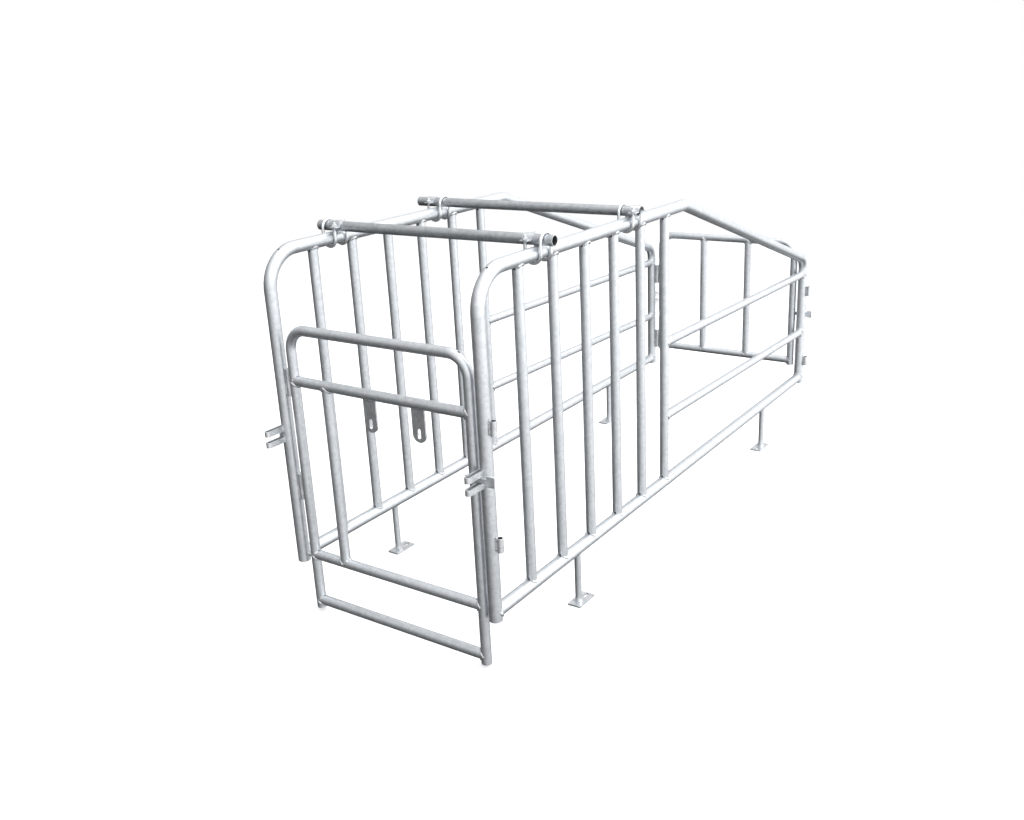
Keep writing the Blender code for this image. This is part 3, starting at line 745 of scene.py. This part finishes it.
def clamp(end, side):
    """A rod bent twice over the cross tube and under the panel's top rail, with its saddle."""
    tube = centre(f"{end}_cross_tube")
    saddle_x = centre(f"{end}_{side}_clamp_saddle").x
    x = PANEL_X[side]
    inward = math.copysign(1, saddle_x - x)
    reach = abs(saddle_x - x)
    origin = Vector((x, tube.y, tube.z))
    drop = tube.z - TOP_Z
    ear_top = SADDLE_THICKNESS / 2
    arch_level = BAR_RADIUS + CLAMP_ROD_RADIUS + TOUCH - CLAMP_SPREAD
    half = [(inward * reach, THREAD_START)]
    half += [(inward * a, b) for a, b in arc((0, -drop), reach, 0, -180, ARC_STEPS)]
    half.append((-inward * reach, arch_level))
    points = [Vector((a, -CLAMP_SPREAD, b)) for a, b in half]
    for a, b in arc((0, arch_level), CLAMP_SPREAD, 180, 0, ARC_STEPS)[1:-1]:
        points.append(Vector((-inward * reach, a, b)))
    points += [Vector((a, CLAMP_SPREAD, b)) for a, b in half[::-1]]
    shell = bmesh.new()
    sweep(shell, [origin + point for point in points], CLAMP_ROD_RADIUS, sides=ROD_SIDES)
    rod = finish(f"{end}_{side}_clamp_rod_bend", shell, BRIGHT_ZINC)
    place_piece(rod, "stall_frame", "galvanised_fittings", f"{end}_{side}_clamp_rod")
    shell = bmesh.new()
    for spread in (-CLAMP_SPREAD, CLAMP_SPREAD):
        stud = origin + Vector((inward * reach, spread, THREAD_START))
        length = ear_top + NUT_HEIGHT + THREAD_STANDOUT - THREAD_START
        thread(shell, stud, length, CLAMP_ROD_RADIUS - THREAD_SLACK)
    for spread in (-CLAMP_SPREAD, CLAMP_SPREAD):
        nut(shell, origin + Vector((inward * reach, spread, ear_top + TOUCH)))
    nuts = finish(f"{end}_{side}_clamp_nuts", shell, PLATE_ZINC, 30)
    place_piece(nuts, "stall_frame", "galvanised_fittings", f"{end}_{side}_clamp_rod")

    bend = BAR_RADIUS + TOUCH + SADDLE_THICKNESS / 2
    turn = math.degrees(math.asin(SADDLE_FILLET / (bend + SADDLE_FILLET)))
    side_run = (bend + SADDLE_FILLET) * math.cos(math.radians(turn))
    right = [(SADDLE_EAR, 0.0), (side_run + SADDLE_FLAT, 0.0)]
    right += arc((side_run, SADDLE_FILLET), SADDLE_FILLET, 270, 180 + turn, 6)
    over = arc((0, 0), bend, turn, 180 - turn, ARC_STEPS)
    left = [(-a, b) for a, b in right[::-1]]
    path = right + over[1:-1] + left
    shell = bmesh.new()
    columns = []
    for a, b in path:
        trim = SADDLE_TRIM if abs(a) > SADDLE_EAR - 0.0001 else 0.0
        column = []
        for share in (-1, -0.5, 0, 0.5, 1):
            depth = share * (SADDLE_WIDTH / 2 - trim)
            spot = origin + Vector((inward * reach + depth, a, b))
            column.append(shell.verts.new(spot))
        columns.append(column)
    for column, following in zip(columns, columns[1:]):
        for k in range(4):
            shell.faces.new([column[k], column[k + 1], following[k + 1], following[k]])
    strap = finish(f"{end}_{side}_clamp_saddle_strap", shell, PLATE_ZINC)
    thicken(strap, SADDLE_THICKNESS)
    soften(strap, THIN_EDGE)
    place_piece(strap, "stall_frame", "galvanised_fittings", f"{end}_{side}_clamp_saddle")


def cross_tube(end):
    """The tube that ties the panels together, open at both ends."""
    low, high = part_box(f"{end}_cross_tube")
    middle = (low + high) / 2
    shell = bmesh.new()
    line = [Vector((x, middle.y, middle.z)) for x in (low.x, high.x)]
    sweep(shell, line, BAR_RADIUS, BAR_RADIUS - BAR_WALL)
    piece = finish(f"{end}_cross_tube_smooth", shell, CROSS_ZINC)
    soften(piece, THIN_EDGE)
    place_piece(piece, "stall_frame", "galvanised_fittings", f"{end}_cross_tube")


# ---------------------------------------------------------------- gates


def lug(side, y, rail_z, body, welds):
    """A slotted plate that hangs under the front gate's middle rail."""
    node = f"front_gate_{side}_trough_lug"
    x = centre(node).x
    radius = LUG_WIDTH / 2
    start = rail_z - math.sqrt(BAR_RADIUS**2 - (LUG_THICKNESS / 2) ** 2) + LUG_SUNK
    outline = [(radius, start), (-radius, start)]
    outline += arc((0, rail_z - LUG_DROP + radius), radius, 180, 360, 32)
    hole = slot_loop(*LUG_SLOT, (0.0, rail_z - LUG_SLOT_DROP))
    shell = bmesh.new()
    flat_plate(shell, outline, hole, LUG_THICKNESS, X, Z, Y, Vector((x, y - LUG_THICKNESS / 2, 0)))
    piece = finish(f"{node}_plate", shell, PLATE_ZINC)
    soften(piece, LUG_EDGE)
    place_piece(piece, body, "galvanised_tube", node)
    run, steps = LUG_WIDTH - 2 * LUG_WELD_MARGIN, LUG_WELD_STEPS
    places = [x - radius + LUG_WELD_MARGIN + run * i / steps for i in range(steps + 1)]
    for sign in (-1, 1):
        points = [Vector((a, y + sign * LUG_THICKNESS / 2, start - LUG_SUNK)) for a in places]
        bead(welds, points, [Vector((0, sign, -0.6)).normalized()] * len(points), SMALL_WELD)


def latch_bar(end, outward, body, welds):
    """A flat bar with an upright head at its tip, stood off the gate's leg by a packing."""
    node = f"{end}_gate_latch_bar"
    low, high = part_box(node)
    outside = high.y if outward > 0 else low.y
    inside = outside - outward * LATCH_THICKNESS
    neck = high.x - LATCH_HEAD
    bottom, top = low.z + LATCH_RISE, low.z + LATCH_RISE + LATCH_HEIGHT
    outline = [(low.x, bottom), (neck, bottom), (neck, low.z), (high.x, low.z), (high.x, high.z),
               (neck, high.z), (neck, top), (low.x, top)]
    shell = bmesh.new()
    flat_plate(shell, outline, None, LATCH_THICKNESS, X, Z, Y * outward, Y * inside)
    piece = finish(f"{node}_plate", shell, PLATE_ZINC)
    soften(piece, LATCH_EDGE, 3)
    place_piece(piece, body, "galvanised_tube", node)

    half = LATCH_PACKING / 2
    on_leg = POST_Y[end] + outward * math.sqrt(BAR_RADIUS**2 - half**2)
    sill, lintel = bottom + PACKING_INSET, top - PACKING_INSET
    outline = [(RIGHT_LEG - half, sill), (RIGHT_LEG + half, sill), (RIGHT_LEG + half, lintel),
               (RIGHT_LEG - half, lintel)]
    shell = bmesh.new()
    start = on_leg - outward * PACKING_SUNK
    depth = abs(inside - start) + PACKING_BURIED
    flat_plate(shell, outline, None, depth, X, Z, Y * outward, Y * start)
    packing = finish(f"{node}_packing", shell, PLATE_ZINC)
    soften(packing, PLATE_EDGE)
    place_piece(packing, body, "galvanised_tube", node)
    run, steps = LATCH_HEIGHT - 2 * LATCH_WELD_MARGIN, LATCH_WELD_STEPS
    levels = [bottom + LATCH_WELD_MARGIN + run * i / steps for i in range(steps + 1)]
    for sign in (-1, 1):
        points = [Vector((RIGHT_LEG + sign * half, on_leg, z)) for z in levels]
        bead(welds, points, [Vector((sign, outward, 0)).normalized()] * len(points), SMALL_WELD)


def gate(end, outward):
    """One gate: its bent frame, hinge pins and knuckles, latch bar, rails, bars and welds."""
    body = f"{end}_gate"
    y = POST_Y[end]
    low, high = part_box(f"{end}_gate_frame")
    rail_low, rail_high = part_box(f"{end}_gate_lower_rail")
    top_z = high.z - (rail_high.z - rail_low.z) / 2
    corners = [Vector((LEFT_LEG, y, low.z)), Vector((LEFT_LEG, y, top_z)),
               Vector((RIGHT_LEG, y, top_z)), Vector((RIGHT_LEG, y, low.z))]
    shell = bmesh.new()
    sweep(shell, bent_path(corners, [GATE_BEND, GATE_BEND]), BAR_RADIUS, BAR_RADIUS - BAR_WALL)
    piece = finish(f"{end}_gate_frame_tube", shell, TUBE_ZINC)
    middle = Vector((RIGHT_LEG - GATE_BEND, y, top_z - GATE_BEND))
    slant = Z * math.sin(DRAIN_ANGLE) + X * math.cos(DRAIN_ANGLE)
    drill(piece, middle + slant * (GATE_BEND + BAR_RADIUS), slant, DRAIN_RADIUS, 2 * BAR_WALL)
    place_piece(piece, body, "galvanised_tube", f"{end}_gate_frame")

    welds = bmesh.new()
    fittings = bmesh.new()
    hinge = Vector((HINGE_X, y, 0))
    for level in ("upper", "lower"):
        sleeve_low, sleeve_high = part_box(f"left_panel_{end}_{level}_hinge_sleeve")
        seat = sleeve_high.z + TOUCH
        top = sleeve_high.z + KNUCKLE_HEIGHT
        knuckle = hinge + X * KNUCKLE_SHIFT
        tube_line = [knuckle + Z * z for z in (seat, top)]
        sweep(fittings, tube_line, KNUCKLE_RADIUS, PIN_RADIUS, PIN_SIDES)
        pin = [hinge + Z * z for z in (sleeve_low.z, top)]
        sweep(fittings, pin, PIN_RADIUS - TOUCH / 3, sides=PIN_SIDES)
        crevice_bead(welds, Vector((LEFT_LEG, y, 0)), BAR_RADIUS, knuckle, KNUCKLE_RADIUS,
                     seat + SLEEVE_WELD_MARGIN, top - SLEEVE_WELD_MARGIN, SMALL_WELD)
    piece = finish(f"{end}_gate_hinge_fittings", fittings, PLATE_ZINC)
    place_piece(piece, body, "galvanised_tube", f"{end}_gate_frame")

    leg = (Z, BAR_RADIUS)
    rail = (X, BAR_RADIUS)

    def tube(label, start, stop, headers, vent=None):
        """One coped tube and the welds round its two ends."""
        shell = bmesh.new()
        branch(shell, start, stop, BAR_RADIUS, BAR_WALL, headers, vent)
        piece = finish(f"{end}_gate_{label}_tube", shell, TUBE_ZINC)
        place_piece(piece, body, "galvanised_tube", f"{end}_gate_{label}")
        axis = (stop - start).normalized()
        gap_angle = VENT_CLEAR * VENT_WIDTH / BAR_RADIUS if vent else 0.0
        size = WELD_SIZE * GATE_WELD_SHARE
        for point, away, header in ((start, axis, headers[0]), (stop, -axis, headers[1])):
            branch_bead(welds, point, away, BAR_RADIUS, header, size, vent, gap_angle)

    levels = {"top": top_z}
    labels = ("middle", "lower", "bottom") if end == "front" else ("lower",)
    for label in labels:
        z = centre(f"{end}_gate_{label}_rail").z
        levels[label] = z
        tube(f"{label}_rail", Vector((LEFT_LEG, y, z)), Vector((RIGHT_LEG, y, z)), (leg, leg), Z)
    bars = ("bar",) if end == "front" else ("left_bar", "right_bar")
    upper = levels["middle"] if end == "front" else levels["top"]
    for label in bars:
        x = centre(f"{end}_gate_{label}").x
        tube(label, Vector((x, y, levels["lower"])), Vector((x, y, upper)), (rail, rail))
    if end == "front":
        for side in SIDES:
            lug(side, y, levels["middle"], body, welds)
    latch_bar(end, outward, body, welds)
    piece = finish(f"{end}_gate_welds", welds, WELD_ZINC, 60)
    place_piece(piece, body, "galvanised_tube")


# ---------------------------------------------------------------- stage, lights and camera


def floor_material():
    """A pale matt floor that only the camera sees, faded out far away so that no horizon shows."""
    material = bpy.data.materials.new("pale_floor")
    material.use_nodes = True
    tree = material.node_tree
    tree.nodes.clear()
    add = node_tools(tree)
    place = add("ShaderNodeTexCoord", output=3)
    length = add("ShaderNodeVectorMath", {"operation": "LENGTH"}, 1)
    tree.links.new(place, tree.nodes[-1].inputs[0])
    spread = tree.nodes.new("ShaderNodeMapRange")
    spread.interpolation_type = "SMOOTHSTEP"
    spread.inputs["From Min"].default_value = FLOOR_FADE[0]
    spread.inputs["From Max"].default_value = FLOOR_FADE[1]
    tree.links.new(length, spread.inputs["Value"])
    path = tree.nodes.new("ShaderNodeLightPath")
    unseen = add("ShaderNodeMath", {"operation": "SUBTRACT"})
    tree.nodes[-1].inputs[0].default_value = 1.0
    tree.links.new(path.outputs["Is Camera Ray"], tree.nodes[-1].inputs[1])
    hidden = add("ShaderNodeMath", {"operation": "MAXIMUM"})
    tree.links.new(spread.outputs["Result"], tree.nodes[-1].inputs[0])
    tree.links.new(unseen, tree.nodes[-1].inputs[1])
    matt = add("ShaderNodeBsdfDiffuse", Color=(*FLOOR_COLOUR, 1))
    glow = add("ShaderNodeEmission", Color=(1, 1, 1, 1), Strength=FLOOR_GLOW)
    lit = tree.nodes.new("ShaderNodeAddShader")
    tree.links.new(matt, lit.inputs[0])
    tree.links.new(glow, lit.inputs[1])
    clear = add("ShaderNodeBsdfTransparent")
    mix = tree.nodes.new("ShaderNodeMixShader")
    output = tree.nodes.new("ShaderNodeOutputMaterial")
    tree.links.new(hidden, mix.inputs[0])
    tree.links.new(lit.outputs[0], mix.inputs[1])
    tree.links.new(clear, mix.inputs[2])
    tree.links.new(mix.outputs[0], output.inputs["Surface"])
    return material


def stage():
    """The floor, which isn't part of the object."""
    shell = bmesh.new()
    bmesh.ops.create_circle(shell, cap_ends=True, radius=FLOOR_RADIUS, segments=FLOOR_SIDES)
    floor = finish("studio_floor", shell, floor_material())


def world():
    """Soft studio surround: bright above and on one side, dark below and on the other side."""
    sky = bpy.data.worlds.new("studio")
    bpy.context.scene.world = sky
    sky.use_nodes = True
    tree = sky.node_tree
    add = node_tools(tree)
    background = tree.nodes["Background"]
    direction = add("ShaderNodeTexCoord", output=0)
    parts = tree.nodes.new("ShaderNodeSeparateXYZ")
    tree.links.new(direction, parts.inputs[0])
    lean = add("ShaderNodeVectorMath", {"operation": "DOT_PRODUCT"}, 1)
    tree.links.new(direction, tree.nodes[-1].inputs[0])
    tree.nodes[-1].inputs[1].default_value = BRIGHT_SIDE

    def zero_to_one(value):
        """Brings -1 to 1 into 0 to 1."""
        scaled = add("ShaderNodeMath", {"operation": "MULTIPLY_ADD"})
        tree.links.new(value, tree.nodes[-1].inputs[0])
        tree.nodes[-1].inputs[1].default_value = 0.5
        tree.nodes[-1].inputs[2].default_value = 0.5
        return scaled

    sideways = ramp(tree, zero_to_one(lean), WORLD_LEAN)
    height = ramp(tree, zero_to_one(parts.outputs["Z"]), WORLD_HEIGHT)
    overhead = ramp(tree, zero_to_one(parts.outputs["Z"]), WORLD_OVERHEAD)

    def combine(blend, first, second):
        """A colour mix of two shades, in full."""
        node = tree.nodes.new("ShaderNodeMix")
        node.data_type = "RGBA"
        node.blend_type = blend
        node.inputs[0].default_value = 1.0
        tree.links.new(first, node.inputs[6])
        tree.links.new(second, node.inputs[7])
        return node.outputs[2]

    shade = combine("ADD", combine("MULTIPLY", sideways, height), overhead)
    path = tree.nodes.new("ShaderNodeLightPath")
    pick = tree.nodes.new("ShaderNodeMix")
    pick.data_type = "RGBA"
    tree.links.new(path.outputs["Is Camera Ray"], pick.inputs[0])
    tree.links.new(shade, pick.inputs[6])
    pick.inputs[7].default_value = (1.0, 1.0, 1.0, 1)
    tree.links.new(pick.outputs[2], background.inputs["Color"])
    background.inputs["Strength"].default_value = 1.0


def area_light(name, place, aim, size, power):
    """A soft rectangular light, turned towards aim."""
    light = bpy.data.lights.new(name, "AREA")
    light.shape = "RECTANGLE"
    light.size, light.size_y = size
    light.energy = power
    lamp = bpy.data.objects.new(name, light)
    bpy.context.scene.collection.objects.link(lamp)
    lamp.location = place
    lamp.rotation_euler = (Vector(aim) - Vector(place)).to_track_quat("-Z", "Y").to_euler()


def camera():
    """The main view."""
    view = bpy.data.cameras.new("camera")
    view.lens = CAMERA_LENS
    item = bpy.data.objects.new("camera", view)
    bpy.context.scene.collection.objects.link(item)
    turn = (CAMERA_AIM - CAMERA_PLACE).to_track_quat("-Z", "Y")
    item.rotation_mode = "QUATERNION"
    item.rotation_quaternion = turn @ Quaternion((0, 0, 1), CAMERA_ROLL)
    item.location = CAMERA_PLACE
    bpy.context.scene.camera = item


def main():
    for side in SIDES:
        panel_frame(side)
        panel_tubes(side)
    for end, outward in ENDS:
        cross_tube(end)
        for side in SIDES:
            clamp(end, side)
        gate(end, outward)
    stage()
    world()
    for softbox in SOFTBOXES:
        area_light(*softbox)
    bpy.context.scene.view_settings.view_transform = "Standard"
    camera()


main()
